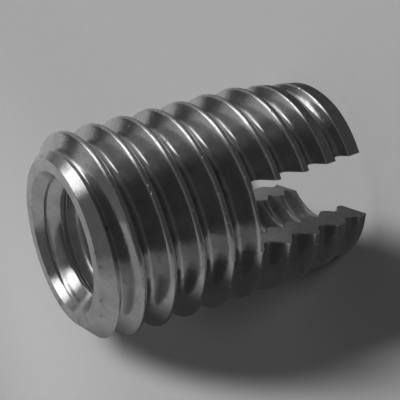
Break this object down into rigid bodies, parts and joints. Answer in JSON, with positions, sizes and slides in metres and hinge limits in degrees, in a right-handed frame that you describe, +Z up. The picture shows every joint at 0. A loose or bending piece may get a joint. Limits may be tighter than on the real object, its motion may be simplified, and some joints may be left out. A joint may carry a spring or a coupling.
{
  "type": "threaded insert",
  "caption": "Slotted self-tapping threaded insert: a short steel bushing with a coarse thread outside, a metric screw thread inside and a cutting slot across one end.",
  "frame": {"origin": "on the axis at the slotted end's plane, the bottom centre of the box", "axes": "+Z up the thread axis to the plain end where the screw enters; +Y along the cutting slot; +X square to the slot"},
  "size_m": [0.0098, 0.0098, 0.0138],
  "materials": {
    "plated_steel": "bright turned steel with a thin clear-passivated zinc coat, fine turning lines and slightly worn crests"
  },
  "bodies": {
    "root": {"insert": "plated_steel"}
  },
  "joints": []
}
